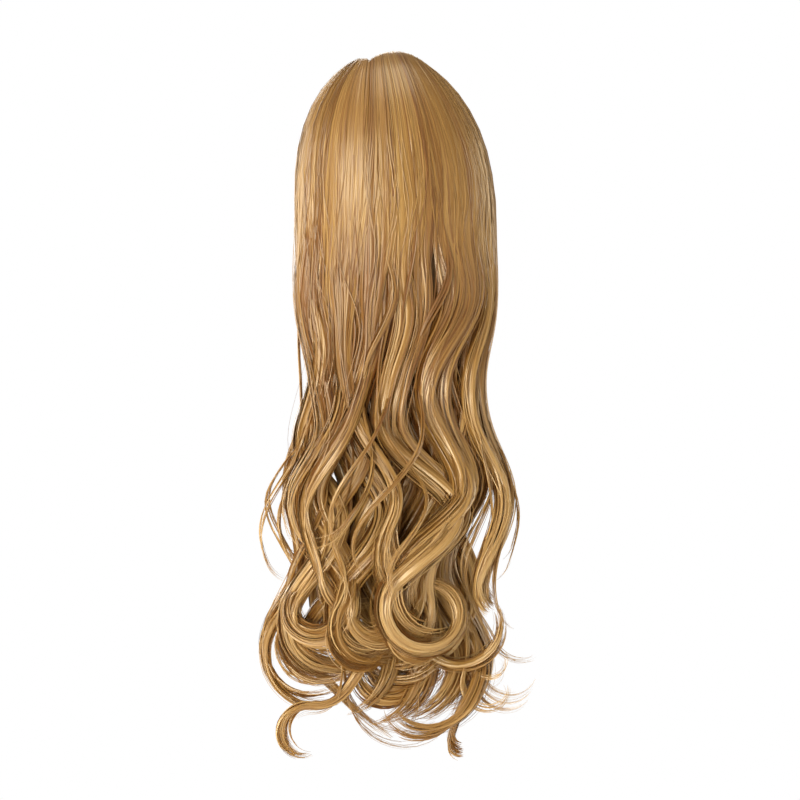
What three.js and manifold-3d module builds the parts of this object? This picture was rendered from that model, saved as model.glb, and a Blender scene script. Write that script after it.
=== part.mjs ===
// A clip-in ponytail of wavy hair. A claw clip sits on the wearer's crown under a combed dome of hair,
// and loose locks fall from the dome in waves and end in ring curls and flicks.
// Millimetres, +Z up. The origin is the place on the crown where the claw sits, and -Y points away from
// the back of the head.
import * as THREE from "three";
import Module from "manifold-3d";

const { clamp, degToRad, smoothstep } = THREE.MathUtils;
const wasm = await Module();
wasm.setup();

// The back of the wearer's head, as the ellipsoid that the hair lies on.
const HEAD_HALF = new THREE.Vector3(80, 95, 115);
const HEAD_CENTRE = new THREE.Vector3(0, 64, -85);
const HEAD_GAP = 1.5;

// The claw's own frame: x across the head, y up the slope of the crown, z straight out of it.
const SEAT_TILT = degToRad(47.8);

// Claw clip: an elliptical tunnel of plate and teeth, arched across the head.
const CLIP_HALF_LENGTH = 17;
const CLIP_ARCH_RADIUS = 60;
const CLIP_HALF_WIDTH = 12;
const CLIP_HALF_HEIGHT = 8;
const CLIP_CENTRE_HEIGHT = 8.5;
const CLIP_THICKNESS = 2.4;
const CLIP_PLATE_EDGE = 15;
const CLIP_STATIONS = 8;
const CLIP_ANGLE_STEP = 15;
const TOOTH_COUNT = 6;
const TOOTH_WIDTH = 3.6;
const TOOTH_ROOT_ANGLE = 20;
const TOOTH_TIP_ANGLE = -62;
const TOOTH_STEPS = 4;
const TOOTH_TIP_SHARE = 0.5;
const TOOTH_THICKNESS = 2.2;
const TOOTH_END_GAP = 0.3;
const CLIP_CLEARANCE = 0.4;

// The dome of combed hair over the clip and the back of the head.
const DOME_HALF_WIDTH = 70;
const DOME_HEIGHT = 113;
const DOME_LEFT_POWER = 3;
const DOME_RIGHT_POWER = 2;
const DOME_DEPTH = 56;
const DOME_CENTRE_Z = -90;
const DOME_EDGE_Y = 2;
const DOME_FALL_HALF = 69.5;
const DOME_FALL_Z = -118;
const DOME_BOTTOM_Z = -196;
const DOME_COLUMNS = 20;
const DOME_FOLD_ROWS = 3;
const DOME_FAN_ROWS = 8;
const DOME_HANG_ROWS = 3;
const FOLD_HALF_WIDTH = 34;
const FOLD_REACH = 10;
const FOLD_LIFT = 3.5;
const FOLD_ROUNDING = 0.85;
const RIB_HEIGHT = 0.9;
const HEM_STEP = 22;

// The combed lines start close together over the clip, in two bundles that part at a notch. The left bundle
// is flat on top, and the right one is an arch.
const NOTCH_FALL = -22;
const LEFT_ROOT = -19;
const LEFT_ROOT_SPREAD = 0.2;
const LEFT_TOP_X = -24;
const LEFT_TOP_DROP = 5;
const LEFT_TOP_HALF_WIDTH = 90;
const LEFT_FAN_BEND = 1.15;
const RIGHT_ROOT = -18;
const RIGHT_ROOT_SPREAD = 0.42;
const RIGHT_TOP_HALF_WIDTH = 52;
const RIGHT_FAN_BEND = 0.9;

// How the mass of hair widens, moves back and thickens below the head.
const WAIST_Z = -205;
const WAIST_SHARE = 0.12;
const FLARE_TOP_Z = -215;
const FLARE_FULL_Z = -300;
const FLARE_WIDTH = 16;
const BACK_TOP_Z = -120;
const BACK_FULL_Z = -300;
const BACK_FLARE = 8;
const EDGE_TOP_Z = -90;
const EDGE_FULL_Z = -250;
const EDGE_TUCK = 22;
const LAYER_TOP = 14;
const LAYER_GAIN = 46;
const LAYER_EDGE_SHARE = 0.35;

// The waves and curls of the locks.
const LOCK_TOP_Z = -184;
const TIP_Z = -340;
const WAVE_LENGTH = 132;
const EARLY_TOP_Z = -75;
const EARLY_FULL_Z = -175;
const WAVE_TOP_Z = -195;
const WAVE_FULL_Z = -285;
const WAVE_DEPTH_SHARE = 0.55;
const CURL_TIGHTENING = 0.35;
const CURL_DRIFT = 0.07;
const PATH_STEP = 3;
const RING_SPACING = 75;
const RING_TURN = 49;
const LOCK_FLATNESS = 0.5;
const LOCK_TUCK = 4;
const LOCK_OUT_Z = -215;
const LOCK_TAPER = 0.35;
const LOCK_TIP_SHARE = 0.25;
const LOCK_SIDES = 5;

// One row a lock: sideways place where the dome lets it go, sideways place low down, sideways reach of the
// wave high up and low down, its phase in degrees, height where the wave ends, then a curl and a hook as
// degrees turned (down to right is positive) and radius, depth in the layer (0 is outermost), and half width.
const LOCK_COLUMNS = "fall tip early wave phase end curl radius hook bend depth width".split(" ");
const OUTER_LOCKS = {
  edge_left: [-60, -47, 3, 16, 191, -350, -200, 22, -60, 10, 0.05, 10],
  left_ring: [-52, -56, 4, 16, 333, -354, 95, 36, 45, 75, 0.25, 10],
  left_loop: [-34, -74, -6, 14, 278, -380, 90, 42, 30, 40, 0.5, 8.5],
  cross_left: [-14, -58, 4, 10, 202, -330, 60, 30, 40, 14, -0.12, 6],
  cross_right: [-46, -5, 3, 14, 33, -300, 40, 40, 30, 14, -0.12, 6],
  left_mid: [-38, -44, 5, 14, 220, -350, 120, 25, 60, 10, 0.05, 10],
  centre_left: [-24, -22, 6, 18, 352, -338, 90, 38, 60, 18, 0.25, 11],
  centre_a: [-10, 16, 8, 27, 352, -333, 315, 30, 0, 1, 0.0, 8],
  centre_b: [3, 22, 8, 26, 352, -330, 70, 34, 0, 1, 0.15, 9],
  right_a: [29, 32, 12, 12, 46, -345, -80, 30, 40, 14, 0.1, 9],
  right_inner: [42, 22, 12, 24, 44, -312, 25, 90, 130, 30, 0.08, 8],
  right_mid: [48, 30, 8, 19, 52, -318, 20, 70, -60, 40, 0.25, 8],
  right_side: [56, 65, 6, 10, 25, -336, 60, 16, 0, 1, 0.05, 6.5],
  edge_right: [63, 69, 5, 9, 19, -334, 65, 16, 0, 1, 0.3, 6.5],
  right_curl: [14, 8, 5, 16, 25, -345, 88, 48, 120, 9, 0.4, 8.5],
  fringe_left: [-14, -14, 5, 12, 82, -396, -50, 38, 0, 1, 0.55, 10],
  fringe_a: [0, 8, 5, 14, 82, -402, -50, 40, 0, 1, 0.6, 13],
  fringe_b: [20, 28, 5, 14, 82, -402, -50, 38, 0, 1, 0.6, 13],
  fringe_c: [40, 44, 5, 14, 82, -398, -50, 36, 0, 1, 0.6, 12],
  bottom_left: [-28, -30, 5, 14, 125, -400, -62, 28, 205, 15, 0.45, 5],
  bottom_v: [-40, -28, 5, 22, 292, -424, 12, 150, 0, 1, 0.6, 5],
  bottom_u: [36, 46, 5, 14, 60, -412, -90, 38, -40, 16, 0.45, 7],
  bottom_tip: [28, 38, 5, 10, 90, -436, 110, 8, 0, 1, 0.75, 7],
  bottom_sweep: [-20, -24, 5, 10, 0, -374, 80, 34, 25, 60, 0.5, 8],
  low_left: [-36, -66, 3, 10, 300, -372, 95, 32, 40, 60, 0.6, 9],
  flick_right: [46, 42, 5, 12, 100, -388, 95, 28, 65, 20, 0.5, 3.5],
};

// The locks behind them: rows of one depth, spread evenly across the fall.
const INNER_ROWS = [
  { depth: 0.7, count: 4, half: 37, wave: 12, end: -368, width: 13 },
  { depth: 0.95, count: 4, half: 27, wave: 10, end: -350, width: 12 },
];
const INNER_EARLY_SHARE = 0.5;
const INNER_PHASE_STEP = 67;
const INNER_END_STEP = 14;
const INNER_END_COUNT = 3;
const INNER_SPREAD = 1.06;
const INNER_CURL = 150;
const INNER_RADIUS = 22;

const seat = new THREE.Group();
seat.rotation.x = SEAT_TILT;
seat.updateMatrixWorld(true);

// 0 above the first height and 1 below the second.
const lowered = (z, top, full) => smoothstep(-z, -top, -full);

// Solids

// A closed solid from points and triangles, turned outwards if need be.
function solidOf(points, triangles) {
  const build = (tris) =>
    new wasm.Manifold(
      new wasm.Mesh({
        numProp: 3,
        vertProperties: new Float32Array(points.flatMap((p) => p.toArray())),
        triVerts: new Uint32Array(tris.flat()),
      }),
    );
  const made = build(triangles);
  return made.volume() > 0 ? made : build(triangles.map(([a, b, c]) => [a, c, b]));
}

const quad = (a, b, c, d) => [
  [a, b, c],
  [a, c, d],
];

// The solid between two grids of points of the same rows and columns.
function slab(front, back) {
  const rows = front.length;
  const columns = front[0].length;
  const points = [...front.flat(), ...back.flat()];
  const far = rows * columns;
  const at = (i, j) => i * columns + j;
  const triangles = [];
  for (let i = 0; i + 1 < rows; i++) {
    for (let j = 0; j + 1 < columns; j++) {
      triangles.push(...quad(at(i, j), at(i, j + 1), at(i + 1, j + 1), at(i + 1, j)));
      triangles.push(
        ...quad(far + at(i, j), far + at(i + 1, j), far + at(i + 1, j + 1), far + at(i, j + 1)),
      );
    }
  }
  const border = [];
  for (let j = 0; j + 1 < columns; j++) border.push(at(0, j));
  for (let i = 0; i + 1 < rows; i++) border.push(at(i, columns - 1));
  for (let j = columns - 1; j > 0; j--) border.push(at(rows - 1, j));
  for (let i = rows - 1; i > 0; i--) border.push(at(i, 0));
  border.forEach((a, k) => {
    const b = border[(k + 1) % border.length];
    triangles.push(...quad(a, far + a, far + b, b));
  });
  return solidOf(points, triangles);
}

// A closed tube through rings of points, with a flat cap at each end.
function tube(rings) {
  const sides = rings[0].length;
  const points = rings.flat();
  const triangles = [];
  for (let i = 0; i + 1 < rings.length; i++) {
    for (let j = 0; j < sides; j++) {
      const k = (j + 1) % sides;
      triangles.push(
        ...quad(i * sides + j, i * sides + k, (i + 1) * sides + k, (i + 1) * sides + j),
      );
    }
  }
  const last = (rings.length - 1) * sides;
  for (let j = 1; j + 1 < sides; j++) {
    triangles.push([0, j + 1, j]);
    triangles.push([last, last + j, last + j + 1]);
  }
  return solidOf(points, triangles);
}

// The union of several solids, without any pocket sealed inside it.
function fuse(solids) {
  const joined = solids.reduce((sum, solid) => sum.add(solid));
  return joined
    .decompose()
    .reduce((best, body) => (body.volume() > best.volume() ? body : best));
}

function meshOf(name, solid, material) {
  const { numProp, numVert, vertProperties, triVerts } = solid.getMesh();
  const positions = new Float32Array(numVert * 3);
  for (let i = 0; i < numVert; i++) {
    positions.set(vertProperties.subarray(i * numProp, i * numProp + 3), i * 3);
  }
  const geometry = new THREE.BufferGeometry();
  geometry.setAttribute("position", new THREE.BufferAttribute(positions, 3));
  geometry.setIndex(new THREE.BufferAttribute(triVerts, 1));
  geometry.computeVertexNormals();
  const mesh = new THREE.Mesh(geometry, material);
  mesh.name = name;
  return mesh;
}

// Claw clip

// A point of the claw at a place across the head, an angle round its tunnel, and an offset from mid plate.
function clipPoint(across, angle, offset) {
  const turn = across / CLIP_ARCH_RADIUS;
  const height =
    CLIP_ARCH_RADIUS + CLIP_CENTRE_HEIGHT + (CLIP_HALF_HEIGHT + offset) * Math.sin(degToRad(angle));
  return new THREE.Vector3(
    height * Math.sin(turn),
    (CLIP_HALF_WIDTH + offset) * Math.cos(degToRad(angle)),
    height * Math.cos(turn) - CLIP_ARCH_RADIUS,
  );
}

const stations = (half) =>
  Array.from({ length: CLIP_STATIONS + 1 }, (_, i) => half * ((2 * i) / CLIP_STATIONS - 1));

function clipPlate() {
  const angles = [];
  for (let a = CLIP_PLATE_EDGE; a <= 180 - CLIP_PLATE_EDGE; a += CLIP_ANGLE_STEP) angles.push(a);
  const grid = (offset) =>
    stations(CLIP_HALF_LENGTH).map((u) => angles.map((a) => clipPoint(u, a, offset)));
  return slab(grid(CLIP_THICKNESS / 2), grid(-CLIP_THICKNESS / 2));
}

// One tooth, which leaves the plate's edge and curves in under the tunnel. Side is 1 for the upper jaw.
function clipTooth(across, side) {
  const grid = (sign) =>
    Array.from({ length: TOOTH_STEPS + 1 }, (_, i) => {
      const share = i / TOOTH_STEPS;
      const upright = TOOTH_ROOT_ANGLE + (TOOTH_TIP_ANGLE - TOOTH_ROOT_ANGLE) * share;
      const angle = side > 0 ? upright : 180 - upright;
      const slim = 1 - (1 - TOOTH_TIP_SHARE) * share;
      return [-1, 1].map((edge) =>
        clipPoint(across + (edge * slim * TOOTH_WIDTH) / 2, angle, (sign * slim * TOOTH_THICKNESS) / 2),
      );
    });
  return slab(grid(1), grid(-1));
}

function clawClip() {
  const pieces = [clipPlate()];
  const reach = CLIP_HALF_LENGTH - TOOTH_WIDTH / 2 - TOOTH_END_GAP;
  for (let i = 0; i < TOOTH_COUNT; i++) {
    const across = reach * ((2 * i) / (TOOTH_COUNT - 1) - 1);
    pieces.push(clipTooth(across, 1), clipTooth(across, -1));
  }
  return fuse(pieces);
}

// The room that the clip takes out of the hair.
function clipRoom() {
  const offset = CLIP_THICKNESS / 2 + CLIP_CLEARANCE;
  const rings = stations(CLIP_HALF_LENGTH + CLIP_CLEARANCE).map((u) => {
    const ring = [];
    for (let a = 0; a < 360; a += CLIP_ANGLE_STEP) {
      ring.push(clipPoint(u, a, offset).applyMatrix4(seat.matrixWorld));
    }
    return ring;
  });
  return tube(rings);
}

// The form of the hair

// The share of its full width or depth that the dome has at a height.
const domeArc = (z, power = DOME_RIGHT_POWER) =>
  z > DOME_CENTRE_Z
    ? Math.sqrt(Math.max(0, 1 - ((z - DOME_CENTRE_Z) / DOME_HEIGHT) ** power))
    : 1;
const waist = (z) => 1 - WAIST_SHARE * lowered(z, DOME_FALL_Z, WAIST_Z);

// How far the hair reaches sideways, on the side of x. The left shoulder is the fuller one.
const halfWidth = (x, z) =>
  DOME_HALF_WIDTH * domeArc(z, x < 0 ? DOME_LEFT_POWER : DOME_RIGHT_POWER) * waist(z) +
  FLARE_WIDTH * lowered(z, FLARE_TOP_Z, FLARE_FULL_Z);
const backY = (z) =>
  DOME_EDGE_Y - DOME_DEPTH * domeArc(z) - BACK_FLARE * lowered(z, BACK_TOP_Z, BACK_FULL_Z);
const edgeY = (z) => DOME_EDGE_Y - EDGE_TUCK * lowered(z, EDGE_TOP_Z, EDGE_FULL_Z);

// How far the hair bulges between its side edge (0) and its middle (1).
function bulge(x, z) {
  const share = Math.min(1, Math.abs(x) / Math.max(halfWidth(x, z), 1));
  return Math.sqrt(1 - share * share);
}

const outerY = (x, z) => edgeY(z) + (backY(z) - edgeY(z)) * bulge(x, z);

function layerY(x, z, depth) {
  const full = LAYER_TOP + LAYER_GAIN * lowered(z, LOCK_TOP_Z, FLARE_FULL_Z);
  return outerY(x, z) + depth * full * (LAYER_EDGE_SHARE + (1 - LAYER_EDGE_SHARE) * bulge(x, z));
}

// The point on the head under a point of the hair. Below the head's middle the hair hangs straight.
function onHead(point) {
  const half = HEAD_HALF.clone().addScalar(HEAD_GAP);
  const away = point.clone().sub(HEAD_CENTRE);
  const level = Math.max(0, away.z);
  const size = Math.hypot(away.x / half.x, away.y / half.y, level / half.z);
  const drop = Math.min(0, away.z);
  return new THREE.Vector3(away.x / size, away.y / size, level / size + drop).add(HEAD_CENTRE);
}

const headTopZ = (x, y) => {
  const flat = Math.hypot(x / HEAD_HALF.x, (y - HEAD_CENTRE.y) / HEAD_HALF.y);
  return HEAD_CENTRE.z + HEAD_HALF.z * Math.sqrt(1 - flat * flat);
};

// The combed line of one sideways fall: where it starts, how high, and how it fans out.
function comb(fall) {
  const past = fall - NOTCH_FALL;
  if (past < 0) {
    const root = LEFT_ROOT + past * LEFT_ROOT_SPREAD;
    const arch = Math.sqrt(1 - ((root - LEFT_TOP_X) / LEFT_TOP_HALF_WIDTH) ** 2);
    const topZ = DOME_CENTRE_Z + (DOME_HEIGHT - LEFT_TOP_DROP) * arch;
    return { fall, root, topZ, bend: LEFT_FAN_BEND, power: DOME_LEFT_POWER };
  }
  const root = RIGHT_ROOT + past * RIGHT_ROOT_SPREAD;
  const topZ = DOME_CENTRE_Z + DOME_HEIGHT * Math.sqrt(1 - (root / RIGHT_TOP_HALF_WIDTH) ** 2);
  const bend = 1 + RIGHT_FAN_BEND * (1 - (fall / DOME_FALL_HALF) ** 2);
  return { fall, root, topZ, bend, power: DOME_RIGHT_POWER };
}

// Sideways place of a combed line at a height, down the fan and below it.
function combedX({ fall, root, topZ, bend, power }, z) {
  const start = domeArc(topZ, power);
  const opened = clamp((domeArc(z, power) - start) / (1 - start), 0, 1);
  return (root + (fall - root) * opened ** bend) * waist(z);
}

// One combed line of the dome: it folds up over the clip, fans out over the crown and hangs.
function domeLine(fall, rib, bottomZ) {
  const combed = comb(fall);
  const { root, topZ } = combed;
  const reach = FOLD_REACH * Math.sqrt(1 - FOLD_ROUNDING * (root / FOLD_HALF_WIDTH) ** 2);
  const footZ = headTopZ(root, DOME_EDGE_Y + reach) + FOLD_LIFT;
  const line = [];
  for (let i = 0; i < DOME_FOLD_ROWS; i++) {
    const angle = (Math.PI / 2) * (i / DOME_FOLD_ROWS);
    line.push(
      new THREE.Vector3(
        root,
        DOME_EDGE_Y + reach * Math.cos(angle),
        footZ + (topZ - footZ) * Math.sin(angle),
      ),
    );
  }
  for (let i = 0; i <= DOME_FAN_ROWS; i++) {
    const angle = (Math.PI / 2) * (i / DOME_FAN_ROWS);
    const z = DOME_FALL_Z + (topZ - DOME_FALL_Z) * Math.cos(angle);
    const x = combedX(combed, z);
    line.push(new THREE.Vector3(x, outerY(x, z) - rib * Math.sin(angle), z));
  }
  for (let i = 1; i <= DOME_HANG_ROWS; i++) {
    const z = DOME_FALL_Z + (bottomZ - DOME_FALL_Z) * (i / DOME_HANG_ROWS);
    const x = combedX(combed, z);
    line.push(new THREE.Vector3(x, outerY(x, z) - rib, z));
  }
  return line;
}

function hairDome() {
  const lines = [];
  for (let j = 0; j <= DOME_COLUMNS; j++) {
    const share = (2 * j) / DOME_COLUMNS - 1;
    const rib = j % 2 ? RIB_HEIGHT : -RIB_HEIGHT;
    const bottomZ = DOME_BOTTOM_Z - (j % 2) * HEM_STEP;
    lines.push(domeLine(share * DOME_FALL_HALF, rib, bottomZ));
  }
  return slab(
    lines,
    lines.map((line) => line.map(onHead)),
  );
}

// Locks

function fallPoint(lock, z) {
  const early = lock.early * lowered(z, EARLY_TOP_Z, EARLY_FULL_Z);
  const reach = early + (lock.wave - lock.early) * lowered(z, WAVE_TOP_Z, WAVE_FULL_Z);
  const angle = degToRad(lock.phase) + (2 * Math.PI * (DOME_FALL_Z - z)) / WAVE_LENGTH;
  const hung = lock.fall * waist(z);
  const x = hung + (lock.tip - hung) * lowered(z, DOME_FALL_Z, TIP_Z) + reach * Math.sin(angle);
  const sway = WAVE_DEPTH_SHARE * reach * Math.cos(angle);
  const tuck = LOCK_TUCK * (1 - lock.depth) * (1 - lowered(z, LOCK_TOP_Z, LOCK_OUT_Z));
  const y = layerY(x, z, lock.depth) + LOCK_FLATNESS * lock.width + tuck + sway;
  return new THREE.Vector3(x, y, z);
}

// Adds an arc to a path, turning it by some degrees on a radius that tightens towards the tip.
function addArc(path, degrees, radius) {
  const steps = Math.max(1, Math.ceil((degToRad(Math.abs(degrees)) * radius) / PATH_STEP));
  const turn = degToRad(degrees) / steps;
  for (let i = 0; i < steps; i++) {
    const [before, last] = path.slice(-2);
    const heading = Math.atan2(last.x - before.x, before.z - last.z) + turn;
    const length = Math.abs(turn) * radius * (1 - (CURL_TIGHTENING * i) / steps);
    const step = new THREE.Vector3(Math.sin(heading), CURL_DRIFT, -Math.cos(heading));
    path.push(last.clone().addScaledVector(step, length));
  }
}

function lockPath(lock) {
  const path = [];
  for (let z = LOCK_TOP_Z; z > lock.end; z -= PATH_STEP) path.push(fallPoint(lock, z));
  addArc(path, lock.curl, lock.radius);
  addArc(path, lock.hook, lock.bend);
  return path;
}

// Drops the points that a lock's path can spare: it keeps one wherever enough length and turning add up.
function sparsePath(path) {
  const kept = [path[0]];
  let spent = 0;
  for (let i = 1; i + 1 < path.length; i++) {
    const before = path[i].clone().sub(path[i - 1]);
    const after = path[i + 1].clone().sub(path[i]);
    spent += before.length() / RING_SPACING + before.angleTo(after) / degToRad(RING_TURN);
    if (spent < 1) continue;
    kept.push(path[i]);
    spent = 0;
  }
  kept.push(path.at(-1));
  return kept;
}

function lockSolid(lock) {
  const path = sparsePath(lockPath(lock));
  const lengths = path.map((p, i) => (i ? p.distanceTo(path[i - 1]) : 0));
  const total = lengths.reduce((sum, length) => sum + length);
  let run = 0;
  const rings = path.map((p, i) => {
    run += lengths[i];
    const left = Math.min(1, (total - run) / (LOCK_TAPER * total));
    const half = lock.width * (LOCK_TIP_SHARE + (1 - LOCK_TIP_SHARE) * Math.sqrt(left));
    const along = path[Math.min(i + 1, path.length - 1)].clone().sub(path[Math.max(i - 1, 0)]);
    const wide = along.clone().cross(new THREE.Vector3(0, 1, 0)).normalize();
    const thin = along.clone().cross(wide).normalize();
    return Array.from({ length: LOCK_SIDES }, (_, k) => {
      const angle = (2 * Math.PI * k) / LOCK_SIDES;
      return p
        .clone()
        .addScaledVector(wide, half * Math.cos(angle))
        .addScaledVector(thin, half * LOCK_FLATNESS * Math.sin(angle));
    });
  });
  return tube(rings);
}

function innerLocks() {
  return INNER_ROWS.flatMap((row, layer) =>
    Array.from({ length: row.count }, (_, i) => {
      const fall = row.half * ((2 * i) / (row.count - 1) - 1);
      return {
        fall,
        tip: fall * INNER_SPREAD,
        early: row.wave * INNER_EARLY_SHARE,
        wave: row.wave,
        phase: INNER_PHASE_STEP * (i + layer),
        end: row.end - INNER_END_STEP * (i % INNER_END_COUNT),
        curl: fall < 0 ? INNER_CURL : -INNER_CURL,
        radius: INNER_RADIUS,
        hook: 0,
        bend: 1,
        depth: row.depth,
        width: row.width,
      };
    }),
  );
}

function hairSolid() {
  const outer = Object.values(OUTER_LOCKS).map((row) =>
    Object.fromEntries(LOCK_COLUMNS.map((column, i) => [column, row[i]])),
  );
  const locks = [...outer, ...innerLocks()].map(lockSolid);
  return fuse([fuse([hairDome(), ...locks]).subtract(clipRoom())]);
}

const hairMaterial = new THREE.MeshStandardMaterial({ color: 0xb08a4f, roughness: 0.45 });
const clipMaterial = new THREE.MeshStandardMaterial({ color: 0x5a3a20, roughness: 0.35 });

const ponytail = new THREE.Group();
seat.add(meshOf("claw_clip", clawClip(), clipMaterial));
ponytail.add(seat);
ponytail.add(meshOf("hair", hairSolid(), hairMaterial));

export default ponytail;
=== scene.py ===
"""A clip-in ponytail of wavy honey-blonde hair on a claw clip, hung as it is worn and seen from behind.

The hair is made of narrow strips that follow the dome and the locks of the solid model, over one dark inner
body of painted shade that closes the gaps between them. The hair's lengths are in millimetres until they
reach
Blender, and the lights, the floor and the camera's nearest distance are in metres.
"""

import math

import bpy
import numpy as np
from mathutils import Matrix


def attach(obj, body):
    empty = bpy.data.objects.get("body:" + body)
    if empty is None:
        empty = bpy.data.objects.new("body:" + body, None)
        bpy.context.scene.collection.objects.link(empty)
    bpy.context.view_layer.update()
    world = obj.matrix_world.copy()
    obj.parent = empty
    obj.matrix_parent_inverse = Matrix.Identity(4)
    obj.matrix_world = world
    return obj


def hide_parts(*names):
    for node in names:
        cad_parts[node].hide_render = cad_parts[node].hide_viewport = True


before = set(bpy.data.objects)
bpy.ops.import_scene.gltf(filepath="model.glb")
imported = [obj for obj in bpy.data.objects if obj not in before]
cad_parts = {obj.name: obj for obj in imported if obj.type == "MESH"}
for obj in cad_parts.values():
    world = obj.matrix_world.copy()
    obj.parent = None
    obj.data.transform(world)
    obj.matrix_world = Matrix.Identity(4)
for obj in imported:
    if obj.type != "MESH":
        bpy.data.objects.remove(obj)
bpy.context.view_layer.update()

MM = 0.001
SEED = 27
random = np.random.default_rng(SEED)

# The hollow inside the worn hair, as the ellipsoid that the hair lies on.
HOLLOW_HALF = np.array([80.0, 95.0, 115.0])
HOLLOW_CENTRE = np.array([0.0, 64.0, -85.0])
HOLLOW_GAP = 1.5

# The dome of combed hair, which folds over the clip at its top.
DOME_HALF_WIDTH = 70
DOME_HEIGHT = 113
DOME_LEFT_POWER = 3
DOME_RIGHT_POWER = 2
DOME_DEPTH = 56
DOME_CENTRE_Z = -90
DOME_EDGE_Y = 2
DOME_FALL_HALF = 69.5
DOME_FALL_Z = -118
FOLD_HALF_WIDTH = 34
FOLD_REACH = 10
FOLD_LIFT = 3.5
FOLD_ROUNDING = 0.85

# How the mass of hair narrows, widens, moves back and thickens below the dome.
WAIST_Z = -205
WAIST_SHARE = 0.12
FLARE_TOP_Z = -215
FLARE_FULL_Z = -300
FLARE_WIDTH = 16
BACK_TOP_Z = -120
BACK_FULL_Z = -300
BACK_FLARE = 8
EDGE_TOP_Z = -90
EDGE_FULL_Z = -250
EDGE_TUCK = 22
LAYER_TOP = 14
LAYER_GAIN = 46
LAYER_EDGE_SHARE = 0.35

# The waves and curls of the locks. Curls lean inwards as they turn, and those of locks past the lean depth
# lean outwards.
LOCK_TOP_Z = -184
TIP_Z = -340
WAVE_LENGTH = 132
EARLY_TOP_Z = -75
EARLY_FULL_Z = -175
WAVE_TOP_Z = -195
WAVE_FULL_Z = -285
WAVE_DEPTH_SHARE = 0.55
CURL_TIGHTENING = 0.35
CURL_DRIFT = 0.07
CURL_LEAN = 0.3
LEAN_DEPTH = 0.42
LOCK_FLATNESS = 0.5
LOCK_TAPER = 0.35

# One row a lock, with the columns of the solid model: sideways place where the dome lets it go and low down,
# reach of its wave high up and low down, phase of the wave, height where the wave ends, a curl and a hook as
# degrees and radius, depth in the layer, and half width.
LOCK_COLUMNS = "fall tip early wave phase end curl radius hook bend depth width".split()
LOCK_ROWS = {
    "edge_left": (-60, -47, 3, 16, 191, -350, -200, 22, -60, 10, 0.05, 10),
    "left_ring": (-52, -56, 4, 16, 333, -354, 95, 36, 45, 75, 0.25, 10),
    "left_loop": (-34, -74, -6, 14, 278, -380, 90, 42, 30, 40, 0.5, 6),
    "cross_left": (-14, -58, 4, 10, 202, -330, 60, 30, 40, 14, -0.12, 6),
    "cross_right": (-46, -5, 3, 14, 33, -300, 40, 40, 30, 14, -0.12, 6),
    "left_mid": (-38, -44, 5, 14, 220, -350, 120, 25, 60, 10, 0.05, 10),
    "centre_left": (-24, -22, 6, 18, 352, -338, 90, 38, 60, 18, 0.25, 11),
    "centre_a": (-10, 16, 8, 27, 352, -333, 315, 30, 0, 1, 0.0, 8),
    "centre_b": (3, 22, 8, 26, 352, -330, 70, 34, 0, 1, 0.15, 9),
    "right_a": (29, 32, 9, 12, 46, -345, -80, 30, 40, 14, 0.1, 9),
    "right_inner": (42, 22, 12, 24, 44, -312, 25, 90, 130, 30, 0.08, 8),
    "right_mid": (48, 30, 8, 19, 52, -318, 20, 70, -60, 40, 0.25, 8),
    "right_side": (56, 65, 6, 10, 25, -336, 60, 16, 0, 1, 0.05, 6.5),
    "edge_right": (63, 69, 5, 9, 19, -334, 65, 16, 0, 1, 0.3, 6.5),
    "right_curl": (4, 20, 5, 14, 11, -378, 57, 34, 115, 30, 0.45, 7),
    "fringe_a": (0, 8, 5, 14, 82, -408, -50, 40, 0, 1, 0.6, 13),
    "fringe_b": (20, 28, 5, 14, 82, -410, -50, 38, 0, 1, 0.6, 13),
    "fringe_c": (40, 44, 5, 14, 82, -398, -50, 36, 0, 1, 0.6, 12),
    "bottom_left": (-28, -30, 5, 14, 125, -404, -62, 30, 205, 19, 0.45, 5),
    "bottom_v": (-40, -40, 5, 22, 292, -418, 14, 150, 0, 1, 0.6, 6),
    "bottom_u": (36, 44, 5, 14, 60, -420, -90, 38, -40, 16, 0.45, 7),
    "bottom_tip": (28, 46, 5, 10, 90, -434, 110, 8, 0, 1, 0.75, 7),
    "bottom_sweep": (-20, -24, 5, 10, 0, -374, 80, 34, 25, 60, 0.5, 8),
    "low_left": (-36, -66, 3, 10, 300, -372, 95, 32, 40, 60, 0.6, 5.5),
    "fringe_left": (-14, -14, 5, 12, 82, -404, -50, 38, 0, 1, 0.55, 10),
}
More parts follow.
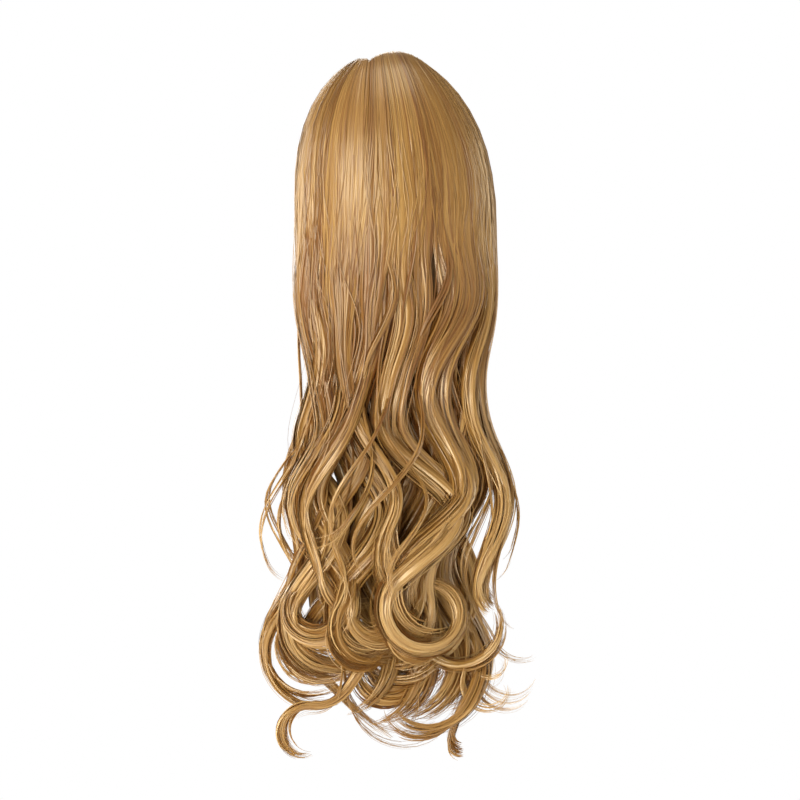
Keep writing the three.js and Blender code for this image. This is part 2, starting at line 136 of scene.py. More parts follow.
# Loose strands that stand off the locks, in the same columns.
WISP_ROWS = {
    "flick_right": (46, 42, 5, 12, 100, -388, 95, 28, 65, 20, 0.5, 3.5),
    "flick_loop": (48, 40, 4, 8, 100, -392, 130, 18, 100, 12, 0.5, 2.0),
    "loop_high": (-50, -60, 3, 12, 300, -345, 130, 24, 120, 14, 0.1, 2.2),
    "loop_side": (-58, -74, 3, 8, 250, -362, 110, 26, 90, 20, 0.3, 2.2),
    "loop_low": (-40, -62, 3, 10, 20, -370, 100, 30, 60, 30, 0.2, 2.0),
    "low_fly": (-20, -44, 3, 8, 60, -402, -80, 24, 40, 20, 0.3, 1.5),
    "low_sweep": (10, 6, 3, 10, 0, -418, -60, 30, 0, 1, 0.5, 2.5),
    "left_bow": (-62, -68, 3, 12, 161, -316, 70, 18, 30, 12, 0.1, 2.0),
    "left_tuft": (-60, -72, 2, 8, 248, -258, 120, 8, 40, 6, 0.1, 1.2),
    "left_stray": (-66, -70, 6, 8, 196, -290, 40, 20, 0, 1, 0.1, 1.5),
    "gap_lines": (58, 64, 2, 3, 0, -345, 30, 20, 0, 1, 0.1, 1.2),
    "right_stray": (66, 74, 5, 8, 30, -352, 60, 18, 0, 1, 0.1, 1.5),
    "low_bow": (-30, -38, 3, 6, 0, -402, 110, 42, 20, 60, 0.4, 2.0),
    "centre_stray": (-18, 8, 4, 18, 20, -320, 60, 30, 30, 14, -0.2, 1.5),
    "cross_stray": (10, -40, 4, 10, 180, -325, -60, 24, 0, 1, -0.2, 1.5),
    "left_fly": (-64, -82, 4, 10, 140, -330, 60, 20, 0, 1, 0.1, 1.2),
    "left_fly_low": (-50, -78, 3, 14, 210, -352, 110, 18, 60, 10, 0.2, 1.2),
    "right_fly": (64, 78, 4, 8, 0, -320, -40, 20, 0, 1, 0.1, 1.2),
    "right_fly_low": (50, 58, 3, 12, 60, -372, 80, 22, 40, 10, 0.3, 1.2),
    "mid_cross": (36, -16, 10, 14, 120, -318, 40, 24, 0, 1, -0.2, 2.2),
    "mid_sweep": (-4, -36, 10, 12, 60, -300, -50, 30, 0, 1, -0.15, 2.2),
}
# Two layers of plain locks on the hollow's side.
INNER_ROWS = (
    {"depth": 0.7, "count": 4, "half": 37, "wave": 12, "end": -368, "width": 13},
    {"depth": 0.95, "count": 4, "half": 27, "wave": 10, "end": -350, "width": 12},
)
INNER_PHASE_STEP = 67
INNER_END_STEP = 14
INNER_END_COUNT = 3
INNER_SPREAD = 1.06
INNER_CURL = 150
INNER_RADIUS = 22

# The combed lines start close together in the fold over the clip, in two bundles that part at a notch.
NOTCH_FALL = -22
LEFT_ROOT = -19
LEFT_ROOT_SPREAD = 0.2
LEFT_TOP_X = -24
LEFT_TOP_DROP = 5
LEFT_TOP_HALF_WIDTH = 90
LEFT_FAN_BEND = 1.15
RIGHT_ROOT = -18
RIGHT_ROOT_SPREAD = 0.42
RIGHT_TOP_HALF_WIDTH = 52
RIGHT_FAN_BEND = 0.9
NOTCH_BLUR = 2
SEAM_WIDTH = 14
SEAM_DEPTH = 0.03
SEAM_END_Z = -95

# Each lock is split into tails, each tail into clumps, and each clump into strands, which are narrow strips.
# The number of strands in a clump is for a lock of the count width, and goes with the width.
STRAND_COLUMNS = "tails clumps strands half_width".split()
STRAND_ROWS = {
    "wisp": (2, 2, 30, 0.28),
    "outer": (4, 6, 14, 0.6),
    "middle": (3, 6, 10, 0.7),
    "inner": (2, 6, 8, 1.0),
}
SURFACE_KINDS = ("outer", "wisp")
OUTER_DEPTH = 0.35
COUNT_WIDTH = 9
LEAST_STRANDS = 3
PIECE_TRIANGLES = 190000

# How a lock's strands lie in it, thin out and end. Strays stand off it, and the loose ones off the dome too.
TAIL_SPREAD = 0.5
TAIL_HALF_WIDTH = 0.5
TAIL_TIP_SHARE = 0.08
# The share of its width that a lock keeps at its tip, where that is not the tail's.
TIP_SHARES = {"fringe_left": 0.4, "fringe_a": 0.4, "fringe_b": 0.4, "fringe_c": 0.4, "bottom_u": 0.25}
CLUMP_SIZE = 0.24
SHELL_SHARE = 0.35
FAR_SHARE = 0.85
GOLDEN_ANGLE = math.pi * (3 - math.sqrt(5))
STRAY_SHARE = 0.07
STRAY_LEAST_WIDTH = 5
STRAY_REACH = 2.0
STRAY_WIDTH = 0.4
STRAY_SWAY = 3.0
LOOSE_SHARE = 0.2
LOOSE_LIFT = 0.03
LOOSE_SWING = 2.5
RAGGED_TIP = 0.1
RAGGED_POWER = 3

# How strands differ: what a tail, a clump and a strand take of a variation, and the variations.
VARIATION = {"tail": 0.65, "clump": 0.27, "strand": 0.15}
TAIL_RANGE = 1.6
END_VARIATION = 7
WAVE_VARIATION = 0.1
PHASE_VARIATION = 9
CURL_VARIATION = 0.12
SWAY = 0.45
SWAY_TURNS = (1.5, 4.0)
STRAND_ROLL = 0.15
STRAND_SIZES = (0.6, 1.4)
# How much the strands of a lock differ from each other, where that is not 1.
LOOSENESS = {
    "centre_a": 0.35,
    "left_ring": 0.7,
    "right_curl": 0.35,
    "bottom_left": 0.5,
    "bottom_v": 0.5,
    "flick_right": 0.6,
}

# How strands lie in the dome. Depths are shares of the way from its surface to the hollow.
DOME_LAYER = 0.22
HANG_LAYER = 1.5
HANG_LAYER_Z = (-85, -165)
EDGE_EASE = 0.1
EDGE_DEPTH_FALL = 58
EDGE_LAYER = 0.45
EDGE_DEPTH_Z = (-15, -105)
GATHER_TOP_Z = -75
GATHER_FULL_Z = -230
HANG_TOP_Z = -80
DOME_WANDER = 1.8
WANDER_LENGTH = 18
STRAND_DRIFT = 0.5
MIDDLE_DEPTH = 0.5
MIDDLE_FALL_SHARE = 0.85
MIDDLE_SKIP = 5
INNER_FALL_HALF = 67.5
INNER_STARTS = (0.3, 0.5)
INNER_SIDE_START = 0.2
INNER_SIDE_FALL = (28, 62)
INNER_EDGE_FALL = 52

# Steps along the strands, as lengths, degrees or numbers.
WAVE_STEP = 7
STEP_BIAS = 0.8
TURN_STEP = 14
LEAST_TURN_STEPS = 2
FOLD_STEPS = 3
FAN_STEPS = 10
FAN_END = 0.8

# The strips: shares of width at root and tip, how fast they grow from there, and the tilt that rounds them.
ROOT_WIDTH = 0.5
ROOT_GROWTH = 6
TIP_WIDTH = 0.15
TIP_GROWTH = 5
EDGE_TILT = math.radians(10)
# What the material reads from each strip, how its streaks are laid along it and shifted by chance, and
# where its edges lie in its row of the bake layout.
STRIP_VALUES = ("tone", "along", "across")
ALONG_UNIT = 60
ALONG_RANGE = 50
ACROSS_RANGE = 500
BAKE_ROW = (0.2, 0.8)

# Tones run from 0, the darkest hair, to 1, the palest.
MEAN_TONE = 0.32
CLUMP_TONE = 0.09
STRAND_TONE = 0.05
# Painted shade on the strands on a lock's inner side, towards the hollow, and painted light on its outer
# side.
FACING_SHADE = 0.05
STREAK_TONE = 0.08
STREAK_COUNT = 40
# How much lighter the hair is at heights, from the tips up: the tips paler, partly as their own colour and
# partly as painted light, and the middle heights darker with painted shade.
HEIGHT_TONE_AND_LIGHT_Z = (-320, -270, -210, -130, -90)
HEIGHT_TONE_AND_LIGHT = (0.25, 0.12, -0.08, -0.15, 0)
# How much painted shade darkens the deepest locks, and which locks are lighter than the rest.
DEPTH_SHADE = 0.16
LOCK_TONES = {"right_side": 0.14, "edge_right": 0.14, "centre_a": 0.05, "left_ring": 0.06}

# Colours, and ramps of place and colour.
WHITE = (1, 1, 1, 1)
PALE_GREY = (0.9, 0.9, 0.9, 1)
HAIR_RAMP = (
    (0.1, (0.18, 0.06, 0.007, 1)),
    (0.5, (0.366, 0.186, 0.04, 1)),
    (0.95, (0.57, 0.352, 0.125, 1)),
)
# The painted shade that ambient occlusion multiplies into the hair's colour.
SHADE_RAMP = ((0.05, (0.66, 0.38, 0.18, 1)), (0.55, WHITE))
# The colours of the dark inner body, which is painted shade.
SHADE_CORE_RAMP = ((0, (0.12, 0.055, 0.015, 1)), (1, (0.34, 0.18, 0.05, 1)))
CLIP_RAMP = ((0.35, (0.05, 0.02, 0.008, 1)), (0.7, (0.16, 0.07, 0.025, 1)))
STREAK_CONTRAST = 0.52
SHADE_DISTANCE = 14
SHADE_SAMPLES = 6
CORE_STREAKS = (900, 900, 20)
CLIP_SCUFF_DEPTH = 0.3
# Where a mix node has its two colours, and its mixed one.
MIX_COLOURS = (6, 7)
MIX_RESULT = 2

# The dark body of painted shade inside the dome. Its depths are shares of the way from the dome's surface to
# the hollow.
CORE_COLUMNS = 49
CORE_FAN_ROWS = 14
CORE_HANG_ROWS = 6
CORE_TOP_STATION = 0.6
CORE_BOTTOM_Z = -182
CORE_FALL_HALF = 58
CORE_FRONT = 0.3
CORE_BACK = 0.68
CORE_THINNING = 0.9

# The camera, by the size of a picture's pixel at the hair and the pixel where the origin lies.
PIXEL = 0.67
IMAGE_SIDE = 800
ORIGIN_PIXEL = (395, 84)
CAMERA_DISTANCE = 4500
PICTURE_PLANE_Y = -25
CAMERA_NEAREST = 0.01

# Area lights, one a row: place, point aimed at, width and height, and watts.
LIGHT_ROWS = {
    "key": ((-1.15, -1.75, 0.45), (0, 0, -0.2), (1.2, 1.0), 25),
    "fill": ((1.4, -1.2, 0.0), (0, 0, -0.2), (0.9, 1.2), 2.2),
    "low": ((-0.35, -0.95, -0.5), (0, 0, -0.36), (0.5, 0.4), 8.5),
    "top": ((0, -0.3, 1.3), (0, 0, -0.1), (1.0, 1.0), 8),
    "behind": ((-0.6, 1.7, 0.4), (0, 0, -0.2), (1.2, 1.2), 20),
    "rim_left": ((-1.7, 0.5, -0.1), (0, 0, -0.2), (0.6, 1.4), 16),
    "rim_right": ((1.7, 0.6, -0.1), (0, 0, -0.2), (0.6, 1.4), 9),
}
AMBIENT = 0.34
# A round pale floor below the tips, which brightens to white between two shares of its radius.
FLOOR_Z = -0.56
FLOOR_RADIUS = 1.0
FLOOR_SIDES = 96
FLOOR_GLOW = (0.3, 0.95)


# The form of the hair

def share_between(value, first, last):
    """0 up to the first value and 1 from the last, straight between."""
    return np.clip((value - first) / (last - first), 0, 1)


def lowered(z, top, full):
    """0 above the first height and 1 below the second, smooth between."""
    share = share_between(z, top, full)
    return share * share * (3 - 2 * share)


def dome_arc(z, power=DOME_RIGHT_POWER):
    """The share of its full width or depth that the dome has at a height."""
    rise = np.maximum(z - DOME_CENTRE_Z, 0) / DOME_HEIGHT
    return np.sqrt(np.clip(1 - rise ** power, 0, 1))


def waist(z):
    """The share of its sideways place that hair keeps where the mass narrows."""
    return 1 - WAIST_SHARE * lowered(z, DOME_FALL_Z, WAIST_Z)


def half_width(x, z):
    """How far the hair reaches sideways, on the side of x. The left shoulder is the fuller one."""
    power = np.where(x < 0, DOME_LEFT_POWER, DOME_RIGHT_POWER)
    flare = FLARE_WIDTH * lowered(z, FLARE_TOP_Z, FLARE_FULL_Z)
    return DOME_HALF_WIDTH * dome_arc(z, power) * waist(z) + flare


def bulge(x, z):
    """How far the hair bulges between its side edge (0) and its middle (1)."""
    share = np.minimum(1, np.abs(x) / np.maximum(half_width(x, z), 1))
    return np.sqrt(1 - share * share)


def outer_y(x, z):
    """Depth of the hair's outer surface."""
    back = DOME_EDGE_Y - DOME_DEPTH * dome_arc(z) - BACK_FLARE * lowered(z, BACK_TOP_Z, BACK_FULL_Z)
    edge = DOME_EDGE_Y - EDGE_TUCK * lowered(z, EDGE_TOP_Z, EDGE_FULL_Z)
    return edge + (back - edge) * bulge(x, z)


def inside_edge(x, z):
    """Sideways places kept inside the side edges of the hair, and crowded towards them."""
    most = half_width(x, z)
    over = np.maximum(np.abs(x) - (1 - EDGE_EASE) * most, 0)
    room = EDGE_EASE * np.maximum(most, 1)
    return np.sign(x) * (np.abs(x) - over + room * np.tanh(over / room))


def layer_y(x, z, depth):
    """Depth of a place in the layer of locks, from 0 at its surface to 1 at its inner side."""
    full = LAYER_TOP + LAYER_GAIN * lowered(z, LOCK_TOP_Z, FLARE_FULL_Z)
    return outer_y(x, z) + depth * full * (LAYER_EDGE_SHARE + (1 - LAYER_EDGE_SHARE) * bulge(x, z))


def on_hollow(points):
    """The points on the hollow under points of the hair. Below its middle the hollow goes straight down."""
    half = HOLLOW_HALF + HOLLOW_GAP
    away = points - HOLLOW_CENTRE
    level = np.maximum(0, away[..., 2])
    size = np.sqrt((away[..., 0] / half[0]) ** 2 + (away[..., 1] / half[1]) ** 2 + (level / half[2]) ** 2)
    drop = np.minimum(0, away[..., 2])
    return np.stack([away[..., 0] / size, away[..., 1] / size, level / size + drop], -1) + HOLLOW_CENTRE


def outward(points):
    """Directions out of the hair: off the dome's surface high up, straight back low down."""
    x, y, z = points[..., 0], points[..., 1], points[..., 2]
    off = np.stack([
        x / DOME_HALF_WIDTH ** 2,
        np.minimum(y - DOME_EDGE_Y, -1) / DOME_DEPTH ** 2,
        np.maximum(z - DOME_CENTRE_Z, 0) / DOME_HEIGHT ** 2,
    ], -1)
    off /= np.linalg.norm(off, axis=-1, keepdims=True)
    low = lowered(z, GATHER_TOP_Z, GATHER_FULL_Z)[..., None]
    return off * (1 - low) + np.array([0.0, -1.0, 0.0]) * low


# Combed lines

def comb(fall):
    """The combed line of each fall: where it starts, how high, and how it fans out."""
    fall = np.asarray(fall, float)[:, None]
    on_left = fall < NOTCH_FALL + random.normal(0, NOTCH_BLUR, fall.shape)
    left = LEFT_ROOT + (fall - NOTCH_FALL) * LEFT_ROOT_SPREAD
    right = RIGHT_ROOT + np.maximum(fall - NOTCH_FALL, 0) * RIGHT_ROOT_SPREAD
    left_top = (DOME_HEIGHT - LEFT_TOP_DROP) * np.sqrt(1 - ((left - LEFT_TOP_X) / LEFT_TOP_HALF_WIDTH) ** 2)
    right_top = DOME_HEIGHT * np.sqrt(1 - (right / RIGHT_TOP_HALF_WIDTH) ** 2)
    right_bend = 1 + RIGHT_FAN_BEND * (1 - (fall / DOME_FALL_HALF) ** 2)
    return {
        "fall": fall,
        "root": np.where(on_left, left, right),
        "top": DOME_CENTRE_Z + np.where(on_left, left_top, right_top),
        "bend": np.where(on_left, LEFT_FAN_BEND, right_bend),
        "power": np.where(on_left, DOME_LEFT_POWER, DOME_RIGHT_POWER),
    }


def combed_x(line, z):
    """Sideways place of combed lines at heights z, down the fan and below it."""
    start = dome_arc(line["top"], line["power"])
    spread = np.clip((dome_arc(z, line["power"]) - start) / (1 - start), 0, 1) ** line["bend"]
    return (line["root"] + (line["fall"] - line["root"]) * spread) * waist(z)


def dome_lines(line, stations, wander):
    """Points on combed lines, moved sideways by wander(z).

    Stations run from -1 at the foot of the fold over the clip, to 0 at the top, and to 1 where the fan ends
    and the hair hangs.
    """
    root, top = line["root"], line["top"]
    reach = FOLD_REACH * np.sqrt(1 - FOLD_ROUNDING * (root / FOLD_HALF_WIDTH) ** 2)
    aside = (root / HOLLOW_HALF[0]) ** 2
    away = ((DOME_EDGE_Y + reach - HOLLOW_CENTRE[1]) / HOLLOW_HALF[1]) ** 2
    foot = HOLLOW_CENTRE[2] + HOLLOW_HALF[2] * np.sqrt(1 - (aside + away)) + FOLD_LIFT
    station = stations + np.zeros_like(root)
    turn = np.clip(station, 0, 1) * math.pi / 2
    folding = np.clip(-station, 0, 1) * math.pi / 2
    z = DOME_FALL_Z + (top - DOME_FALL_Z) * np.cos(turn)
    x = inside_edge(combed_x(line, z) + wander(z), z)
    y = np.where(station < 0, DOME_EDGE_Y + reach * np.sin(folding), outer_y(x, z))
    z = np.where(station < 0, foot + (top - foot) * np.cos(folding), z)
    return np.stack([x, y, z], -1)


# Locks

def lock_table():
    """All locks as dictionaries of their columns, with their names and kinds."""
    locks = []
    for name, row in LOCK_ROWS.items():
        depth = row[LOCK_COLUMNS.index("depth")]
        kind = "outer" if depth < OUTER_DEPTH else "middle"
        locks.append(dict(zip(LOCK_COLUMNS, row), name=name, kind=kind))
    for name, row in WISP_ROWS.items():
        locks.append(dict(zip(LOCK_COLUMNS, row), name=name, kind="wisp"))
    for layer, row in enumerate(INNER_ROWS):
        for i in range(row["count"]):
            fall = row["half"] * (2 * i / (row["count"] - 1) - 1)
            locks.append({
                "name": f"inner_{layer}_{i}",
                "kind": "inner",
                "fall": fall,
                "tip": fall * INNER_SPREAD,
                "early": row["wave"] / 2,
                "wave": row["wave"],
                "phase": INNER_PHASE_STEP * (i + layer),
                "end": row["end"] - INNER_END_STEP * (i % INNER_END_COUNT),
                "curl": INNER_CURL if fall < 0 else -INNER_CURL,
                "radius": INNER_RADIUS,
                "hook": 0,
                "bend": 1,
                "depth": row["depth"],
                "width": row["width"],
            })
    return locks


def wave_angle(lock, z):
    """Angle of a lock's wave at heights z."""
    return np.radians(lock["phase"]) + 2 * math.pi * (DOME_FALL_Z - z) / WAVE_LENGTH


def early_reach(lock, z):
    """Reach of a lock's wave high up, while it is still part of the dome."""
    return lock["early"] * lowered(z, EARLY_TOP_Z, EARLY_FULL_Z)


def fall_points(lock, z, wave, phase):
    """The middle line of a lock at heights z, with its wave's reach and phase varied."""
    angle = wave_angle(lock, z) + np.radians(phase)
    hung = lock["fall"] * waist(z)
    late = (lock["wave"] - lock["early"]) * lowered(z, WAVE_TOP_Z, WAVE_FULL_Z)
    reach = wave * (early_reach(lock, z) + late)
    x = hung + (lock["tip"] - hung) * lowered(z, DOME_FALL_Z, TIP_Z) + reach * np.sin(angle)
    sway = WAVE_DEPTH_SHARE * reach * np.cos(angle)
    y = layer_y(x, z, lock["depth"]) + LOCK_FLATNESS * lock["width"] + sway
    return np.stack([x, y, z], -1)


def add_arc(paths, degrees, radius, steps, lean):
    """Adds an arc to each of several paths (paths, points, 3), on a radius that tightens towards the tip.

    The arc leans in depth as it goes sideways.
    """
    turn = np.radians(degrees) / steps
    added = []
    before, last = paths[:, -2], paths[:, -1]
    heading = np.arctan2(last[:, 0] - before[:, 0], before[:, 2] - last[:, 2])
    for i in range(steps):
        heading = heading + turn
        length = np.abs(turn) * radius * (1 - CURL_TIGHTENING * i / steps)
        aside = np.sin(heading)
        step = np.stack([aside, CURL_DRIFT + lean * aside, -np.cos(heading)], -1)
        last = last + step * length[:, None]
        added.append(last)
    return np.concatenate([paths, np.stack(added, 1)], 1)


def lock_paths(lock, vary):
    """Middle lines of a lock's strands from the end of the dome to their tips, each a little different."""
    end = lock["end"] + vary(END_VARIATION)
    steps = math.ceil((HANG_TOP_Z - lock["end"]) / WAVE_STEP)
    z = HANG_TOP_Z + (end - HANG_TOP_Z)[:, None] * np.linspace(0, 1, steps + 1)[None, :] ** STEP_BIAS
    paths = fall_points(lock, z, 1 + vary(WAVE_VARIATION)[:, None], vary(PHASE_VARIATION)[:, None])
    lean = math.copysign(CURL_LEAN, lock["curl"] * (LEAN_DEPTH - lock["depth"]))
    for angle, radius in ((lock["curl"], lock["radius"]), (lock["hook"], lock["bend"])):
        if angle:
            turns = max(LEAST_TURN_STEPS, math.ceil(abs(angle) / TURN_STEP))
            degrees = angle * (1 + vary(CURL_VARIATION))
            paths = add_arc(paths, degrees, radius * (1 + vary(CURL_VARIATION)), turns, lean)
    return paths


def run_along(paths):
    """The length run at each point of paths."""
    steps = np.linalg.norm(np.diff(paths, axis=1), axis=-1)
    return np.concatenate([np.zeros((len(paths), 1)), np.cumsum(steps, 1)], 1)


def sides_of(paths):
    """Unit vectors across each path's width and out through its thickness, and its share of length run."""
    along = np.gradient(paths, axis=1)
    wide = np.cross(along, np.array([0.0, 1.0, 0.0]))
    wide /= np.linalg.norm(wide, axis=-1, keepdims=True)
    thin = np.cross(along, wide)
    thin /= np.linalg.norm(thin, axis=-1, keepdims=True)
    run = run_along(paths)
    return wide, thin, run / run[:, -1:]


def taper(share, tip):
    """The share of a lock's width at shares of its length, down to a share at its tip."""
    left = np.minimum(1, (1 - share) / LOCK_TAPER)
    return tip + (1 - tip) * np.sqrt(left)


def disc(count):
    """Even places on the outer part of the unit disc, as (count, 2)."""
    i = np.arange(count)
    radius = np.sqrt(SHELL_SHARE + (1 - SHELL_SHARE) * (i + 0.5) / count)
    return np.stack([radius * np.cos(i * GOLDEN_ANGLE), radius * np.sin(i * GOLDEN_ANGLE)], -1)


def cut_short(paths, lost):
    """The paths without a share lost of each at its tip, on as many points."""
    last = paths.shape[1] - 1
    even = np.linspace(0, 1, last + 1)
    place = last * even * (1 - lost[:, None] * even ** RAGGED_POWER)
    before = np.minimum(place.astype(int), last - 1)[..., None]
    part = place[..., None] - before
    nearer = np.take_along_axis(paths, before, 1)
    further = np.take_along_axis(paths, before + 1, 1)
    return nearer * (1 - part) + further * part


def make_bundle(lock):
    """A lock's strands below the dome, and the directions that they face."""
    kind = lock["kind"]
    style = dict(zip(STRAND_COLUMNS, STRAND_ROWS[kind]))
    tails, clumps = style["tails"], style["tails"] * style["clumps"]
    each = max(LEAST_STRANDS, round(style["strands"] * lock["width"] / COUNT_WIDTH))
    clump = np.repeat(np.arange(clumps), each)
    tail = clump % tails
    count = len(clump)
    loose = LOOSENESS.get(lock["name"], 1)

    def vary(size):
        """Variation that strands of one tail, and more so those of one clump, have in common."""
        most = TAIL_RANGE * size
        shared = VARIATION["tail"] * random.uniform(-most, most, tails)[tail]
        shared += VARIATION["clump"] * random.normal(0, size, clumps)[clump]
        return loose * (shared + VARIATION["strand"] * random.normal(0, size, count))

    paths = lock_paths(lock, vary)
    wide, thin, share = sides_of(paths)
    spot = disc(clumps)[clump] + CLUMP_SIZE * random.normal(0, 1, (count, 2))
    strays = kind != "inner" and lock["width"] > STRAY_LEAST_WIDTH
    stray = random.uniform(0, 1, (count, 1)) < STRAY_SHARE * strays
    spot[:, 0] *= np.where(spot[:, 1] < 0, FAR_SHARE, 1)
    spot = np.where(stray, STRAY_REACH, 1) * spot
    start = random.uniform(0, 2 * math.pi, (count, 2))
    pace = random.uniform(*SWAY_TURNS, (count, 2))
    swing = np.sin(start[:, None] + pace[:, None] * 2 * math.pi * share[..., None])
    swing = swing * SWAY * np.where(stray, STRAY_SWAY, 1)[:, None]
    centre = TAIL_SPREAD * ((2 * tail + 1) / tails - 1)
    tip = TIP_SHARES.get(lock["name"], TAIL_TIP_SHARE)
    size = (taper(share, tip) * lock["width"])[..., None]
    across = (centre[:, None, None] + TAIL_HALF_WIDTH * spot[:, None, :1]) * size + swing[..., :1]
    through = LOCK_FLATNESS * spot[:, None, 1:] * size + swing[..., 1:]
    paths = cut_short(paths + wide * across + thin * through, random.uniform(0, RAGGED_TIP, count))
    wide, thin, _ = sides_of(paths)
    return {
        "lock": lock,
        "kind": kind,
        "clump": clump,
        "paths": paths,
        "normals": wide * spot[:, None, :1] + thin * spot[:, None, 1:],
        "facing": np.clip(spot[:, 1], -1, 1),
        "stray": stray[:, 0],
        "half_width": style["half_width"] * np.where(stray[:, 0], STRAY_WIDTH, 1),
    }


# From the locks up through the dome

def clump_chance(clump, low, high):
    """A random number for each strand, the same within a clump."""
    return random.uniform(low, high, clump.max() + 1)[clump]


def spread_over_dome(bundles, half):
    """Gives each strand its own place across the dome, in the order that the strands hang lower down."""
    hung = []
    for bundle in bundles:
        nearest = np.abs(bundle["paths"][..., 2] - WAIST_Z).argmin(1)
        hung.append(bundle["paths"][np.arange(len(nearest)), nearest, 0])
    order = np.concatenate(hung)
    rank = np.empty(len(order))
    rank[order.argsort()] = np.arange(len(order))
    even = 2 * (rank + 0.5) / len(order) - 1
    fall = half * (even + np.sin(even * math.pi / 2)) / 2
    for bundle, part in zip(bundles, np.split(fall, np.cumsum([len(h) for h in hung])[:-1])):
        bundle["fall"] = part
        inside = np.clip((1 - bundle["facing"]) / 2, 0, 1)
        sunk = clump_chance(bundle["clump"], 0, 1)
        own = random.uniform(0, 1, len(part))
        bundle["loose"] = bundle["stray"] & (own < LOOSE_SHARE)
        bundle["depth"] = np.where(bundle["loose"], -LOOSE_LIFT, DOME_LAYER * inside * (sunk + own) / 2)


def settle_in_dome(bundles):
    """Gives the strands of all bundles their places and depths in the dome."""
    spread_over_dome([b for b in bundles if b["kind"] in SURFACE_KINDS], DOME_FALL_HALF)
    spread_over_dome([b for b in bundles if b["kind"] == "inner"], INNER_FALL_HALF)
    for bundle in bundles:
        count = len(bundle["clump"])
        if bundle["kind"] == "middle":
            bundle["fall"] = np.full(count, bundle["lock"]["fall"] * MIDDLE_FALL_SHARE)
            bundle["loose"] = np.zeros(count, bool)
            bundle["depth"] = np.full(count, MIDDLE_DEPTH)
        elif bundle["kind"] == "inner":
            edge = share_between(np.abs(bundle["fall"]), INNER_EDGE_FALL, DOME_FALL_HALF)
            bundle["depth"] = (1 - bundle["depth"]) * (1 - edge * random.uniform(0, 1, count))


def through_dome(bundle):
    """Leads a bundle's strands up from the lock, over the dome to the clip or part of the way under it."""
    lower, normals, kind, lock = bundle["paths"], bundle["normals"], bundle["kind"], bundle["lock"]
    fall, depth, clump = bundle["fall"], bundle["depth"], bundle["clump"]
    on_surface = kind in SURFACE_KINDS
    z = lower[..., 2]
    drift = clump_chance(clump, 0, 2 * math.pi)
    drift = (drift + random.normal(0, STRAND_DRIFT, len(drift)))[:, None]
    swing = DOME_WANDER * np.where(bundle["loose"], LOOSE_SWING, 1)[:, None]

    def wander(height):
        own = swing * np.sin(height / WANDER_LENGTH + drift) * lowered(height, 0, DOME_FALL_Z)
        return own + early_reach(lock, height) * np.sin(wave_angle(lock, height))

    line = comb(fall)
    x = inside_edge(combed_x(line, z) + wander(z), z)
    hang = np.stack([x, outer_y(x, z), z], -1)
    past = np.arange(z.shape[1])[None, :] > z.argmin(1)[:, None]
    gather = np.where(past, 1, lowered(z, GATHER_TOP_Z, GATHER_FULL_Z))[..., None]
    deep = np.zeros((len(fall), 1))
    if on_surface:
        edge = share_between(np.abs(fall), EDGE_DEPTH_FALL, DOME_FALL_HALF)
        deep = (edge * EDGE_LAYER * random.uniform(0, 1, len(fall)) ** 2)[:, None]
    sunk = depth[:, None] + deep * lowered(z, *EDGE_DEPTH_Z)
    if on_surface:
        sunk = sunk + depth[:, None] * HANG_LAYER * lowered(z, *HANG_LAYER_Z)
    hang = hang + (on_hollow(hang) - hang) * sunk[..., None]
    paths = hang + (lower - hang) * gather
    normals = outward(paths) * (1 - gather) + normals * gather
    if kind == "middle":
        return paths[:, MIDDLE_SKIP:], normals[:, MIDDLE_SKIP:]
    if kind == "inner":
        side = share_between(np.abs(fall), *INNER_SIDE_FALL)
        own = clump_chance(clump, *INNER_STARTS)
        first = (own + (INNER_SIDE_START - own) * side)[:, None]
        stations = first + (FAN_END - first) * np.linspace(0, 1, FAN_STEPS - 1)
    else:
        fold = np.linspace(-1, 0, FOLD_STEPS + 1)[:-1]
        stations = np.concatenate([fold, np.linspace(0, FAN_END, FAN_STEPS)])
    up = dome_lines(line, stations, wander)
    sunk = depth[:, None] + deep * lowered(up[..., 2], *EDGE_DEPTH_Z)
    if on_surface:
        seam = 1 - share_between(fall, NOTCH_FALL, NOTCH_FALL + SEAM_WIDTH)
        seam = np.where(fall < NOTCH_FALL, 0, seam)
        sunk = sunk + SEAM_DEPTH * seam[:, None] * (1 - lowered(up[..., 2], 0, SEAM_END_Z))
    up = up + (on_hollow(up) - up) * sunk[..., None]
    return np.concatenate([up, paths], 1), np.concatenate([outward(up), normals], 1)


# Strands as meshes

